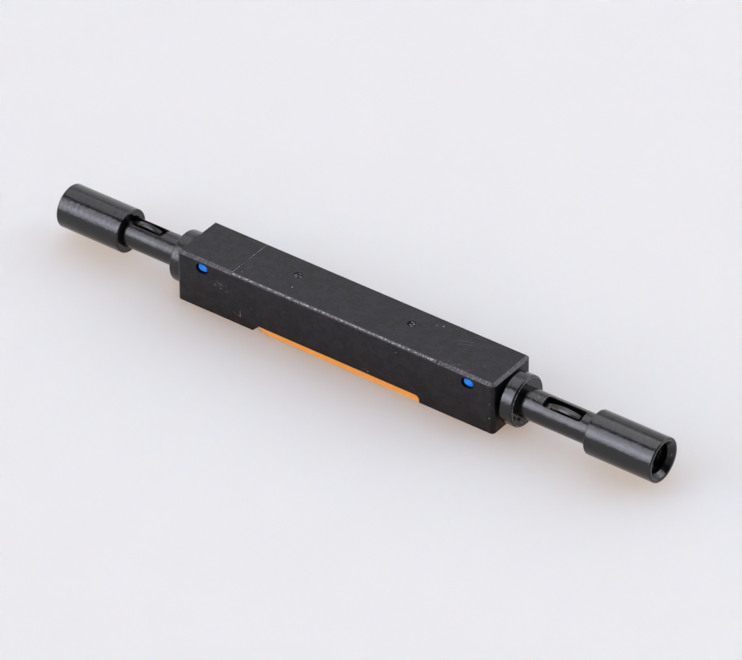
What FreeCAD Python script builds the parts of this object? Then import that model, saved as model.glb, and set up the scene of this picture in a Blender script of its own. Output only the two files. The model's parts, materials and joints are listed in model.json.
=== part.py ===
"""Inline quick connector for two bare fibres, resting on its underside.

X runs along the fibre, +Y is the back, +Z is up. The origin lies on the underside, below the splice point.
All sizes are in millimetres.
"""
import FreeCAD, Part
import math
import os

V = FreeCAD.Vector
X_AXIS = V(1, 0, 0)
Y_AXIS = V(0, 1, 0)
Z_AXIS = V(0, 0, 1)

# Fibre
BARE_FIBRE_DIAMETER = 0.125
COATED_FIBRE_DIAMETER = 0.25
BUFFER_DIAMETER = 0.9

# Housing, an inverted channel with two end walls
HOUSING_LENGTH = 25.25
HOUSING_WIDTH = 4.0
HOUSING_HEIGHT = 3.86
SIDE_WALL = 0.5
ROOF = 0.3
END_WALL = 1.2
END_CHAMFER = 0.21
LONG_CHAMFER = 0.1
MIDDLE_LENGTH = 16.4
FRONT_ROUND = 0.27
BACK_ROUND = 0.2
NOTCH_LENGTH = 13.32
NOTCH_SHIFT = 0.165
NOTCH_HEIGHT = 0.5
NOTCH_CORNER = 0.3
NUB_HOLE_LENGTH = 0.98
NUB_HOLE_HEIGHT = 0.74
NUB_INSET = 2.04
GATE_MARK_DIAMETER = 0.6
GATE_MARK_DEPTH = 0.05
GATE_MARK_SPACING = 9.06
GATE_MARK_OFFSET = 0.35
WITNESS_LINE_WIDTH = 0.06
WITNESS_LINE_DEPTH = 0.03

# Core with the fibre groove
CORE_CLEARANCE = 0.03
CORE_RELIEF_LENGTH = 12.6
NUB_CLEARANCE = 0.08
NUB_TOP_MARGIN = 0.11
NUB_RECESS = 0.12
NUB_BEVEL = 0.08
LEAD_IN_LENGTH = 2.5
COATING_CLEARANCE = 0.03

# Clamp plate and spring
PLATE_THICKNESS = 0.48
CLAMP_GAP = 0.02
PLATE_CLEARANCE = 0.04
PLATE_END_GAP = 0.12
SPRING_ROOM = 0.42
SPRING_THICKNESS = 0.1
SPRING_WIDTH = 2.0
SPRING_FOOT = 0.7
SPRING_END_GAP = 0.3

# Press bar
BAR_CLEARANCE = 0.04
BAR_LIFT = 0.02
BAR_TRAVEL = 0.7
PRY_GAP = 0.1
PRY_SCOOP_LENGTH = 0.5
PRY_SCOOP_RISE = 0.28
FLANGE_RISE = 0.09
ARM_SPACING = 10.2
ARM_LENGTH = 1.3
ARM_THICKNESS = 0.26
ARM_HEADROOM = 0.12
BARB_HEIGHT = 0.3
BARB_DEPTH = 0.18

# Tail tubes
COLLAR_DIAMETER = 3.56
COLLAR_LENGTH = 0.9
COLLAR_ROUND = 0.13
RIGHT_STAND_OFF = 0.3
NECK_DIAMETER = 2.1
SPIGOT_DIAMETER = 2.2
SPIGOT_CLEARANCE = 0.01
BUFFER_CLEARANCE = 0.15
WINDOW_INSET = 1.57
WINDOW_LENGTH = 2.95
WINDOW_WIDTH = 0.94
WINDOW_CORNER = 0.2
RIB_WIDTH = 0.46
RIB_SHIFT = -0.05
RIB_CHAMFER = 0.1
RIB_DROP = 0.02
RIB_RISE = 0.19
RIB_INNER_GAP = 0.47
RIB_OUTER_GAP = 0.27
RIB_FOOT_HEIGHT = 0.06
RIB_ANCHOR = 0.2
RIGHT_WINDOW_TURN = 14.5
LEFT_WINDOW_TURN = 3.0
COLLET_BARB = 0.15
COLLET_LAND = 0.3
COLLET_TAPER_LENGTH = 0.75
COLLET_TAPER_DROP = 0.25
COLLET_SLIT_WIDTH = 0.22
COLLET_SLIT_MARGIN = 0.2
COLLET_MOUTH_CHAMFER = 0.12

# Lock sleeves
SLEEVE_GAP = 5.31
SLEEVE_STROKE = 1.4
LEFT_SLEEVE_PUSHED_IN = 0.85
SLEEVE_LIP = 1.2
SLEEVE_WALL = 0.29
SLEEVE_RUNNING_CLEARANCE = 0.03
COLLET_CLEARANCE = 0.05
SLEEVE_STOP_GAP = 0.02
THROAT_CLEARANCE = 0.1
THROAT_LENGTH = 0.5
FUNNEL_RIM = 0.24
MOUTH_CONE_LENGTH = 0.38
MOUTH_CONE_DROP = 0.3
MOUTH_BORE_LENGTH = 0.54
SLEEVE_CHAMFER = 0.1
MOUTH_CHAMFER = 0.05

# Places that follow from the sizes above
AXIS_Z = HOUSING_HEIGHT / 2
HALF_LENGTH = HOUSING_LENGTH / 2
HALF_WIDTH = HOUSING_WIDTH / 2
CHANNEL_HALF_LENGTH = HALF_LENGTH - END_WALL
CHANNEL_HALF_WIDTH = HALF_WIDTH - SIDE_WALL
CHANNEL_TOP = HOUSING_HEIGHT - ROOF
NOTCH_LEFT = NOTCH_SHIFT - NOTCH_LENGTH / 2
NOTCH_RIGHT = NOTCH_SHIFT + NOTCH_LENGTH / 2
MIDDLE_HALF = MIDDLE_LENGTH / 2
NUB_LENGTH = NUB_HOLE_LENGTH - 2 * NUB_CLEARANCE
NUB_HEIGHT = NUB_HOLE_HEIGHT - 2 * NUB_CLEARANCE
NUB_Z = CHANNEL_TOP - NUB_HEIGHT / 2 - NUB_TOP_MARGIN
NUB_SPACING = HOUSING_LENGTH - 2 * NUB_INSET
NUB_X = NUB_SPACING / 2
PLATE_TOP = AXIS_Z - BARE_FIBRE_DIAMETER / 2
PLATE_BOTTOM = PLATE_TOP - PLATE_THICKNESS
CORE_FACE = PLATE_TOP + CLAMP_GAP
BAR_TOP = NOTCH_HEIGHT - BAR_CLEARANCE
BOSS_TOP = PLATE_BOTTOM - SPRING_ROOM
BOSS_HALF_WIDTH = CHANNEL_HALF_WIDTH - BAR_CLEARANCE
ARM_TOP = CORE_FACE - ARM_HEADROOM
BARB_BOTTOM = ARM_TOP - BARB_HEIGHT
ARM_INNER_END = (ARM_SPACING - ARM_LENGTH) / 2
PLATE_HALF_LENGTH = ARM_INNER_END - PLATE_END_GAP
NECK_RADIUS = NECK_DIAMETER / 2
BORE_RADIUS = BUFFER_DIAMETER / 2 + BUFFER_CLEARANCE
COLLET_RADIUS = NECK_RADIUS + COLLET_BARB
COLLET_START = COLLAR_LENGTH + SLEEVE_GAP + SLEEVE_LIP + SLEEVE_STOP_GAP
COLLET_TAPER_START = COLLET_START + COLLET_LAND
TUBE_END = COLLET_TAPER_START + COLLET_TAPER_LENGTH
CHAMBER_RADIUS = COLLET_RADIUS + COLLET_CLEARANCE
SLEEVE_RADIUS = CHAMBER_RADIUS + SLEEVE_WALL


def box(x_range, y_range, z_range):
    """Return a box between the three pairs of limits."""
    corner = V(x_range[0], y_range[0], z_range[0])
    return Part.makeBox(
        x_range[1] - x_range[0], y_range[1] - y_range[0], z_range[1] - z_range[0], corner)


def both(limit):
    """Return the pair of limits that lie the same distance to either side of the middle."""
    return (-limit, limit)


def turned(profile):
    """Return the solid swept by (along, radius) points about the X axis."""
    points = [V(along, radius, 0) for along, radius in profile]
    face = Part.Face(Part.makePolygon(points + points[:1]))
    return face.revolve(V(0, 0, 0), X_AXIS, 360)


def prism(outline, y_range):
    """Return the solid of an outline of (x, z) points between two Y limits."""
    points = [V(x, y_range[0], z) for x, z in outline]
    face = Part.Face(Part.makePolygon(points + points[:1]))
    return face.extrude(V(0, y_range[1] - y_range[0], 0))


def lengthwise(outline, half_length):
    """Return the solid of an outline of (y, z) points, as long to the left of the middle as to the right."""
    points = [V(-half_length, y, z) for y, z in outline]
    face = Part.Face(Part.makePolygon(points + points[:1]))
    return face.extrude(V(2 * half_length, 0, 0))


def crosswise_slot(x, length, height, y_range):
    """Return a round-ended bar that runs along Y at the height of the snap nubs."""
    radius = height / 2
    straight = length / 2 - radius
    y = y_range[0]
    edges = [
        Part.makeLine(V(x - straight, y, NUB_Z - radius), V(x + straight, y, NUB_Z - radius)),
        Part.Arc(V(x + straight, y, NUB_Z - radius), V(x + straight + radius, y, NUB_Z),
                 V(x + straight, y, NUB_Z + radius)).toShape(),
        Part.makeLine(V(x + straight, y, NUB_Z + radius), V(x - straight, y, NUB_Z + radius)),
        Part.Arc(V(x - straight, y, NUB_Z + radius), V(x - straight - radius, y, NUB_Z),
                 V(x - straight, y, NUB_Z - radius)).toShape()]
    return Part.Face(Part.Wire(edges)).extrude(V(0, y_range[1] - y, 0))


def edges_along(shape, direction, keep):
    """Return the straight edges along a direction whose middle satisfies keep."""
    found = []
    for edge in shape.Edges:
        if not isinstance(edge.Curve, Part.Line):
            continue
        if abs(abs(edge.tangentAt(edge.FirstParameter).dot(direction)) - 1) > 1e-6:
            continue
        if keep(edge.CenterOfMass):
            found.append(edge)
    return found


def to_right_end(shape):
    """Carry a tail-end shape, made outwards from X = 0, to the right end, which it stands off a little."""
    placed = shape.copy()
    placed.translate(V(HALF_LENGTH + RIGHT_STAND_OFF, 0, AXIS_Z))
    return placed


def to_left_end(shape):
    """Carry a tail-end shape, made outwards from X = 0, to the left end of the housing."""
    placed = shape.copy()
    placed.rotate(V(0, 0, 0), Z_AXIS, 180)
    placed.translate(V(-HALF_LENGTH, 0, AXIS_Z))
    return placed


def notch_solid(margin, y_range):
    """Return the block that fills the side notches less a margin, sloped on its left side."""
    top = NOTCH_HEIGHT - margin
    left = NOTCH_LEFT + margin * math.sqrt(2)
    right = NOTCH_RIGHT - margin
    block = prism([(left, 0), (left + top, top), (right, top), (right, 0)], y_range)
    corner = edges_along(block, Y_AXIS, lambda middle: middle.z > top / 2 and middle.x > 0)
    return block.makeFillet(NOTCH_CORNER, corner)


def arm_centres():
    """Return the (x sign, y sign) of the four snap arms."""
    return [(x_sign, y_sign) for x_sign in (-1, 1) for y_sign in (-1, 1)]


def arm_x_range(x_sign, margin=0.0):
    """Return the X limits of one snap arm, widened by a margin."""
    centre = x_sign * ARM_SPACING / 2
    return (centre - ARM_LENGTH / 2 - margin, centre + ARM_LENGTH / 2 + margin)


def chamfered(half_span, first, second):
    """Return the outline of a block as high as the housing, with a chamfer at each end of its top."""
    return [
        (-half_span, 0), (half_span, 0), (half_span, HOUSING_HEIGHT - second),
        (half_span - second, HOUSING_HEIGHT), (first - half_span, HOUSING_HEIGHT),
        (-half_span, HOUSING_HEIGHT - first)]


def make_shell():
    """Return the solid outside of the housing: wide chamfers at the ends and front, a sharper middle."""
    block = box(both(HALF_LENGTH), both(HALF_WIDTH), (0, HOUSING_HEIGHT))
    block = block.makeFillet(FRONT_ROUND, edges_along(block, Z_AXIS, lambda middle: middle.y < 0))
    block = block.makeFillet(BACK_ROUND, edges_along(block, Z_AXIS, lambda middle: middle.y > 0))
    side_view = prism(chamfered(HALF_LENGTH, END_CHAMFER, END_CHAMFER), both(HALF_WIDTH))
    end_view = lengthwise(chamfered(HALF_WIDTH, END_CHAMFER, LONG_CHAMFER), HALF_LENGTH)
    middle = lengthwise(chamfered(HALF_WIDTH, LONG_CHAMFER, LONG_CHAMFER), MIDDLE_HALF)
    return block.common(side_view).common(end_view).fuse(middle).removeSplitter()


def make_housing():
    """Return the black channel with its notches, nub holes and barb pockets."""
    shell = make_shell()
    channel = box(both(CHANNEL_HALF_LENGTH), both(CHANNEL_HALF_WIDTH), (0, CHANNEL_TOP))
    notch = notch_solid(0.0, both(HALF_WIDTH))
    spigot_radius = SPIGOT_DIAMETER / 2 + SPIGOT_CLEARANCE
    spigot_bore = Part.makeCylinder(spigot_radius, HOUSING_LENGTH, V(-HALF_LENGTH, 0, AXIS_Z), X_AXIS)
    cuts = [channel, notch, spigot_bore]

    for x in both(NUB_X):
        for y_range in ((-HALF_WIDTH, -CHANNEL_HALF_WIDTH), (CHANNEL_HALF_WIDTH, HALF_WIDTH)):
            cuts.append(crosswise_slot(x, NUB_HOLE_LENGTH, NUB_HOLE_HEIGHT, y_range))
    for x_sign, y_sign in arm_centres():
        depth = BARB_DEPTH + 2 * BAR_CLEARANCE
        y_range = sorted((0, y_sign * (CHANNEL_HALF_WIDTH - BAR_CLEARANCE + depth)))
        z_range = (BARB_BOTTOM - BAR_TRAVEL - BAR_CLEARANCE, ARM_TOP + BAR_CLEARANCE)
        cuts.append(box(arm_x_range(x_sign, BAR_CLEARANCE), y_range, z_range))
    for x in both(GATE_MARK_SPACING / 2):
        base = V(x, GATE_MARK_OFFSET, HOUSING_HEIGHT - GATE_MARK_DEPTH)
        cuts.append(Part.makeCylinder(GATE_MARK_DIAMETER / 2, GATE_MARK_DEPTH, base))
    line_x = (-MIDDLE_HALF - WITNESS_LINE_WIDTH / 2, WITNESS_LINE_WIDTH / 2 - MIDDLE_HALF)
    cuts.append(box(line_x, both(HALF_WIDTH), (HOUSING_HEIGHT - WITNESS_LINE_DEPTH, HOUSING_HEIGHT)))
    return shell.cut(cuts)


def make_core():
    """Return the blue core: a slab under the roof, two end blocks, snap nubs and the fibre path."""
    half_length = CHANNEL_HALF_LENGTH - CORE_CLEARANCE
    half_width = CHANNEL_HALF_WIDTH - CORE_CLEARANCE
    foot = BAR_TOP + BAR_CLEARANCE
    block = box(both(half_length), both(half_width), (foot, CHANNEL_TOP))
    relief = box(both(CORE_RELIEF_LENGTH / 2), both(half_width), (foot, CORE_FACE))
    core = block.cut(relief)

    reach = HALF_WIDTH - NUB_RECESS
    for x in both(NUB_X):
        nub = crosswise_slot(x, NUB_LENGTH, NUB_HEIGHT, both(reach))
        rims = [edge for edge in nub.Edges if edge.BoundBox.YLength < NUB_BEVEL]
        core = core.fuse(nub.makeChamfer(NUB_BEVEL, rims))

    groove_apex = AXIS_Z + BARE_FIBRE_DIAMETER / 2 * math.sqrt(2)
    groove_half = groove_apex - CORE_FACE
    groove = Part.Face(Part.makePolygon([
        V(-CORE_RELIEF_LENGTH / 2, -groove_half, CORE_FACE),
        V(-CORE_RELIEF_LENGTH / 2, 0, groove_apex),
        V(-CORE_RELIEF_LENGTH / 2, groove_half, CORE_FACE),
        V(-CORE_RELIEF_LENGTH / 2, -groove_half, CORE_FACE)])).extrude(V(CORE_RELIEF_LENGTH, 0, 0))
    fine_radius = COATED_FIBRE_DIAMETER / 2 + COATING_CLEARANCE
    lead_in = turned([
        (CORE_RELIEF_LENGTH / 2, 0), (CORE_RELIEF_LENGTH / 2, fine_radius),
        (half_length - LEAD_IN_LENGTH, fine_radius), (half_length, BORE_RADIUS), (half_length, 0)])
    lead_in.translate(V(0, 0, AXIS_Z))
    other_lead_in = lead_in.copy()
    other_lead_in.rotate(V(0, 0, 0), Z_AXIS, 180)
    return core.cut([groove, lead_in, other_lead_in]).removeSplitter()


def make_clamp_plate():
    """Return the plate that holds both bare fibres up in the groove."""
    half_width = CHANNEL_HALF_WIDTH - PLATE_CLEARANCE
    return box(both(PLATE_HALF_LENGTH), both(half_width), (PLATE_BOTTOM, PLATE_TOP))


def make_spring():
    """Return the bowed leaf spring that stands on the bar and lifts the plate."""
    end = PLATE_HALF_LENGTH - SPRING_END_GAP
    bend = end - SPRING_FOOT
    low = BOSS_TOP
    crown = PLATE_BOTTOM - CLAMP_GAP - SPRING_THICKNESS
    rise = SPRING_THICKNESS
    y = -SPRING_WIDTH / 2

    def at(x, z):
        return V(x, y, z)

    edges = [
        Part.makeLine(at(-end, low), at(-bend, low)),
        Part.Arc(at(-bend, low), at(0, crown), at(bend, low)).toShape(),
        Part.makeLine(at(bend, low), at(end, low)),
        Part.makeLine(at(end, low), at(end, low + rise)),
        Part.makeLine(at(end, low + rise), at(bend, low + rise)),
        Part.Arc(at(bend, low + rise), at(0, crown + rise), at(-bend, low + rise)).toShape(),
        Part.makeLine(at(-bend, low + rise), at(-end, low + rise)),
        Part.makeLine(at(-end, low + rise), at(-end, low))]
    return Part.Face(Part.Wire(edges)).extrude(V(0, SPRING_WIDTH, 0))


def make_press_bar():
    """Return the orange bar: a long plate, two side flanges, a boss and four snap arms."""
    plate = box(both(CHANNEL_HALF_LENGTH - BAR_CLEARANCE), both(BOSS_HALF_WIDTH), (BAR_LIFT, BAR_TOP))
    flange = notch_solid(BAR_CLEARANCE, both(HALF_WIDTH - BAR_LIFT))
    scoop_end = NOTCH_LEFT + NOTCH_HEIGHT + PRY_GAP
    scoop_start = scoop_end + PRY_SCOOP_LENGTH
    relief = [
        (NOTCH_RIGHT, 0), (NOTCH_RIGHT, BAR_LIFT), (scoop_start, BAR_LIFT + FLANGE_RISE),
        (scoop_end, BAR_LIFT + PRY_SCOOP_RISE), (scoop_end, NOTCH_HEIGHT), (NOTCH_LEFT, NOTCH_HEIGHT),
        (NOTCH_LEFT, 0)]
    flange = flange.cut(prism(relief, both(HALF_WIDTH)))

    boss_half_length = ARM_SPACING / 2 + ARM_LENGTH / 2
    pieces = [flange, box(both(boss_half_length), both(BOSS_HALF_WIDTH), (BAR_LIFT, BOSS_TOP))]
    for x_sign, y_sign in arm_centres():
        outer = y_sign * BOSS_HALF_WIDTH
        inner = y_sign * (BOSS_HALF_WIDTH - ARM_THICKNESS)
        tip = y_sign * (BOSS_HALF_WIDTH + BARB_DEPTH)
        x_range = arm_x_range(x_sign)
        section = [(inner, BAR_TOP), (inner, ARM_TOP), (outer, ARM_TOP), (tip, BARB_BOTTOM),
                   (outer, BARB_BOTTOM), (outer, BAR_TOP)]
        points = [V(x_range[0], y, z) for y, z in section]
        arm = Part.Face(Part.makePolygon(points + points[:1])).extrude(V(ARM_LENGTH, 0, 0))
        pieces.append(arm)
    return plate.fuse(pieces).removeSplitter()


def make_tail_tube(window_turn):
    """Return one tail tube, made outwards from X = 0, with its window turned about the fibre."""
    collar_radius = COLLAR_DIAMETER / 2
    spigot_radius = SPIGOT_DIAMETER / 2
    tube = turned([
        (-END_WALL, BORE_RADIUS), (-END_WALL, spigot_radius), (0, spigot_radius),
        (0, collar_radius), (COLLAR_LENGTH, collar_radius), (COLLAR_LENGTH, NECK_RADIUS),
        (COLLET_START, NECK_RADIUS), (COLLET_START, COLLET_RADIUS), (COLLET_TAPER_START, COLLET_RADIUS),
        (TUBE_END, COLLET_RADIUS - COLLET_TAPER_DROP), (TUBE_END, BORE_RADIUS + COLLET_MOUTH_CHAMFER),
        (TUBE_END - COLLET_MOUTH_CHAMFER, BORE_RADIUS)])
    rim = [edge for edge in tube.Edges if edge.BoundBox.XMin > 0 and edge.BoundBox.XLength < COLLAR_ROUND
           and edge.BoundBox.YMax > collar_radius - COLLAR_ROUND]
    tube = tube.makeFillet(COLLAR_ROUND, rim)

    window_start = COLLAR_LENGTH + WINDOW_INSET
    window_end = window_start + WINDOW_LENGTH
    window = box((window_start, window_end), both(WINDOW_WIDTH / 2), (0, COLLET_RADIUS))
    window = window.makeFillet(WINDOW_CORNER, edges_along(window, Z_AXIS, lambda middle: True))
    slit_start = COLLAR_LENGTH + SLEEVE_GAP + COLLET_SLIT_MARGIN
    slit_x = (slit_start, TUBE_END)
    flat_slit = box(slit_x, both(COLLET_RADIUS), both(COLLET_SLIT_WIDTH / 2))
    upright_slit = box(slit_x, both(COLLET_SLIT_WIDTH / 2), both(COLLET_RADIUS))
    tube = tube.cut([window, flat_slit, upright_slit])

    rib = make_window_rib(window_start, window_end)
    tube = tube.fuse(rib).removeSplitter()
    tube.rotate(V(0, 0, 0), X_AXIS, window_turn)
    return tube


def make_window_rib(window_start, window_end):
    """Return the rib in a tail tube's window: a bevelled arch with a low foot at each end."""
    crown = NECK_RADIUS - RIB_DROP
    spring = crown - RIB_RISE
    foot = BORE_RADIUS + RIB_FOOT_HEIGHT
    start = window_start - RIB_ANCHOR
    end = window_end + RIB_ANCHOR
    arch_start = window_start + RIB_INNER_GAP
    arch_end = window_end - RIB_OUTER_GAP
    y = RIB_SHIFT - RIB_WIDTH / 2

    def at(x, z):
        return V(x, y, z)

    arch = Part.Arc(at(arch_start, spring), at((arch_start + arch_end) / 2, crown), at(arch_end, spring))
    below = Part.makePolygon([
        at(arch_end, spring), at(arch_end, foot), at(end, foot), at(end, 0), at(start, 0), at(start, foot),
        at(arch_start, foot), at(arch_start, spring)])
    side = Part.Face(Part.Wire([arch.toShape()] + below.Edges))
    wall = turned([(start, BORE_RADIUS), (start, NECK_RADIUS), (end, NECK_RADIUS), (end, BORE_RADIUS)])
    rib = side.extrude(V(0, RIB_WIDTH, 0))
    rib = rib.makeChamfer(RIB_CHAMFER, [edge for edge in rib.Edges if isinstance(edge.Curve, Part.Circle)])
    return rib.common(wall)


def make_lock_sleeve():
    """Return one lock sleeve, made outwards from X = 0 at its inner face."""
    slide_radius = NECK_RADIUS + SLEEVE_RUNNING_CLEARANCE
    throat_radius = BUFFER_DIAMETER / 2 + THROAT_CLEARANCE
    rim_radius = SLEEVE_RADIUS - FUNNEL_RIM
    inner_limit = COLLAR_LENGTH + SLEEVE_GAP - SLEEVE_STROKE
    shoulder = TUBE_END - inner_limit + SLEEVE_STOP_GAP
    shoulder_radius = CHAMBER_RADIUS - COLLET_TAPER_DROP
    taper_start = shoulder - COLLET_TAPER_LENGTH
    throat_end = shoulder + THROAT_LENGTH
    bore_end = throat_end + MOUTH_BORE_LENGTH
    mouth = bore_end + MOUTH_CONE_LENGTH
    bore_radius = rim_radius - MOUTH_CONE_DROP
    return turned([
        (0, slide_radius), (0, SLEEVE_RADIUS - SLEEVE_CHAMFER), (SLEEVE_CHAMFER, SLEEVE_RADIUS),
        (mouth - MOUTH_CHAMFER, SLEEVE_RADIUS), (mouth, SLEEVE_RADIUS - MOUTH_CHAMFER),
        (mouth, rim_radius), (bore_end, bore_radius), (throat_end, bore_radius), (throat_end, throat_radius),
        (shoulder, throat_radius), (shoulder, shoulder_radius), (taper_start, CHAMBER_RADIUS),
        (SLEEVE_LIP, CHAMBER_RADIUS), (SLEEVE_LIP, slide_radius)])


def place_sleeve(pushed_in):
    """Return a lock sleeve on its tail, pushed in from its outer stop."""
    sleeve = make_lock_sleeve()
    sleeve.translate(V(COLLAR_LENGTH + SLEEVE_GAP - pushed_in, 0, 0))
    return sleeve


def make_parts():
    """Return every node's solid by name."""
    return {
        "housing": make_housing(),
        "v_groove_core": make_core(),
        "clamp_plate": make_clamp_plate(),
        "clamp_spring": make_spring(),
        "press_bar": make_press_bar(),
        "tail_tube_left": to_left_end(make_tail_tube(LEFT_WINDOW_TURN)),
        "tail_tube_right": to_right_end(make_tail_tube(RIGHT_WINDOW_TURN)),
        "lock_sleeve_left": to_left_end(place_sleeve(LEFT_SLEEVE_PUSHED_IN)),
        "lock_sleeve_right": to_right_end(place_sleeve(0.0)),
    }


os.makedirs("parts", exist_ok=True)
for node, solid in make_parts().items():
    box_of_node = solid.BoundBox
    print(node, solid.isValid(), len(solid.Solids), round(solid.Volume, 4), "mm3",
          [round(value, 3) for value in (box_of_node.XMin, box_of_node.XMax, box_of_node.YMin,
                                         box_of_node.YMax, box_of_node.ZMin, box_of_node.ZMax)])
    solid.exportStep("parts/" + node + ".step")
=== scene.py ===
"""Studio picture of an inline quick connector for two bare fibres, dressed on its fixed frame.

Lengths in the dataclasses are in millimetres and are turned into metres where a mesh, lamp or
camera is made. X runs along the fibre, +Y is the back, +Z is up, and the origin lies on the
underside below the splice point.
"""
import json
import logging
import math
from dataclasses import dataclass
from enum import Enum
from functools import reduce
from typing import Sequence, Union

import bpy
import numpy as np
from mathutils import Matrix, Vector

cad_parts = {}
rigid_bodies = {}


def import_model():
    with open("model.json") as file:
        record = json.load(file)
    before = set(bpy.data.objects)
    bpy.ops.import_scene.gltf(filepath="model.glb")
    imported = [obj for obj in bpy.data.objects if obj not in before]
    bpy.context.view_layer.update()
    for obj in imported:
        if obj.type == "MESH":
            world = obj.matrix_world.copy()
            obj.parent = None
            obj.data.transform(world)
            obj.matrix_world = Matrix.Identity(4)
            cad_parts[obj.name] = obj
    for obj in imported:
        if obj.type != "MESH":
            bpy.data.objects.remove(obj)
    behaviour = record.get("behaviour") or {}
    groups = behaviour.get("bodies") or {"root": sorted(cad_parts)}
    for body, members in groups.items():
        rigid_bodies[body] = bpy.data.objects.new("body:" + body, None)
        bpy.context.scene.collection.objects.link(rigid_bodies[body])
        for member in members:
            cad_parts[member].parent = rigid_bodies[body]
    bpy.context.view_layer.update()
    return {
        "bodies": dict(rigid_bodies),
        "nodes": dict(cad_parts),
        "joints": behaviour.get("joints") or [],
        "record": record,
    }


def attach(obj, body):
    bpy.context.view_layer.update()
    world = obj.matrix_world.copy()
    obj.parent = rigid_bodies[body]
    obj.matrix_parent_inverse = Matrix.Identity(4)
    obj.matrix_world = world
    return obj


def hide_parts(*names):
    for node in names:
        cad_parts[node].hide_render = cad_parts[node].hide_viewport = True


LOG = logging.getLogger("fibre_connector")
MM = 0.001

Colour = tuple[float, float, float]
Span = tuple[float, float]
Socket = bpy.types.NodeSocket
Material = bpy.types.Material
Piece = bpy.types.Object
Value = Union[float, Sequence[float], Socket]

LAMP_WHITE: Colour = (0.985, 0.985, 1.05)
FRONT_WHITE: Colour = (0.96, 0.965, 1.12)


class Side(Enum):
    """The end of the housing that a tail end sits on, as the sign of X."""

    LEFT = -1
    RIGHT = 1


class Effect(Enum):
    """The shader node groups that more than one finish uses."""

    GRAIN = "moulded_grain"
    SPECKS = "dust_specks"
    SCRATCHES = "hairline_scratches"
    SMUDGES = "handling_smudges"
    STREAKS = "drawn_streaks"


class Graph:
    """A thin layer over a node tree that adds, feeds and joins nodes."""

    def __init__(self, tree: bpy.types.NodeTree) -> None:
        """Keep the node tree that is worked on."""
        self.tree = tree

    def feed(self, target: Socket, value: Value) -> None:
        """Link a socket to an input, or set the input to a plain value.

        Args:
            target: The input socket.
            value: An output socket, a number, a vector or a colour.
        """
        if isinstance(value, Socket):
            self.tree.links.new(value, target)
        elif isinstance(value, (int, float)):
            target.default_value = value
        else:
            full = tuple(value) + (1.0,)
            target.default_value = full[:len(target.default_value)]

    def add(self, kind: str, inputs: dict[Union[int, str], Value],
            **settings: object) -> bpy.types.Node:
        """Add a node and feed its inputs.

        Args:
            kind: The node's type name.
            inputs: The values of its inputs, by name or place.
            **settings: The node's own properties.

        Returns:
            The new node.
        """
        node = self.tree.nodes.new(kind)
        for key, setting in settings.items():
            setattr(node, key, setting)
        for key, value in inputs.items():
            self.feed(node.inputs[key], value)
        return node

    def math(self, operation: str, *values: Value) -> Socket:
        """Return the result of a Math node on the given values."""
        return self.add("ShaderNodeMath", dict(enumerate(values)), operation=operation).outputs[0]

    def gain(self, base: Value, amount: Value, share: Value) -> Socket:
        """Return a base value plus a share of an amount."""
        return self.math("MULTIPLY_ADD", amount, share, base)

    def highest(self, *values: Value) -> Socket:
        """Return the largest of several values."""
        return reduce(lambda first, second: self.math("MAXIMUM", first, second), values)

    def product(self, *values: Value) -> Socket:
        """Return the product of several values."""
        return reduce(lambda first, second: self.math("MULTIPLY", first, second), values)

    def ramp(self, value: Value, start: Value, end: Value, low: Value = 0.0,
             high: Value = 1.0) -> Socket:
        """Return a smooth step between two values.

        Args:
            value: The value that is mapped.
            start: Where the step starts.
            end: Where the step ends.
            low: The result before the start.
            high: The result after the end.

        Returns:
            The result socket.
        """
        inputs = {0: value, 1: start, 2: end, 3: low, 4: high}
        return self.add("ShaderNodeMapRange", inputs, interpolation_type="SMOOTHSTEP").outputs[0]

    def level_line(self, value: Value, edge: Span) -> Socket:
        """Return 1 where a value is one half, falling to 0 between two distances from it."""
        distance = self.math("ABSOLUTE", self.math("SUBTRACT", value, 0.5))
        return self.ramp(distance, *edge, 1.0, 0.0)

    def blend(self, factor: Value, first: Value, second: Value) -> Socket:
        """Return the colour that lies between two colours by a factor."""
        inputs = {0: factor, 6: first, 7: second}
        return self.add("ShaderNodeMix", inputs, data_type="RGBA").outputs[2]

    def noise(self, vector: Value, scale: Value, detail: float = 2.0,
              roughness: float = 0.5) -> Socket:
        """Return a smooth random value that changes over the surface."""
        inputs = {"Vector": vector, "Scale": scale, "Detail": detail, "Roughness": roughness}
        return self.add("ShaderNodeTexNoise", inputs).outputs[0]

    def stretch(self, vector: Value, scale: Value, turn: Value = (0.0, 0.0, 0.0),
                place: Value = (0.0, 0.0, 0.0)) -> Socket:
        """Return coordinates that a Mapping node centres on a place, turns and scales."""
        inputs = {"Vector": vector, "Location": place, "Rotation": turn, "Scale": scale}
        return self.add("ShaderNodeMapping", inputs, vector_type="TEXTURE").outputs[0]

    def vector_math(self, operation: str, first: Value, second: Value) -> Socket:
        """Return the result of a Vector Math node on two vectors."""
        return self.add("ShaderNodeVectorMath", {0: first, 1: second},
                        operation=operation).outputs[0]

    def millimetres(self) -> Socket:
        """Return the piece's Object coordinates in millimetres."""
        inputs = {0: self.add("ShaderNodeTexCoord", {}).outputs["Object"], "Scale": 1.0 / MM}
        return self.add("ShaderNodeVectorMath", inputs, operation="SCALE").outputs[0]

    def axes(self, vector: Value) -> tuple[Socket, Socket, Socket]:
        """Return the X, Y and Z values of a vector."""
        parts = self.add("ShaderNodeSeparateXYZ", {0: vector}).outputs
        return parts[0], parts[1], parts[2]


def start_material(name: str) -> tuple[Material, Graph, bpy.types.Node]:
    """Make a material with nodes.

    Args:
        name: The material's name.

    Returns:
        The material, its graph and its Principled shader.
    """
    material = bpy.data.materials.new(name)
    material.use_nodes = True
    return material, Graph(material.node_tree), material.node_tree.nodes["Principled BSDF"]


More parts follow.
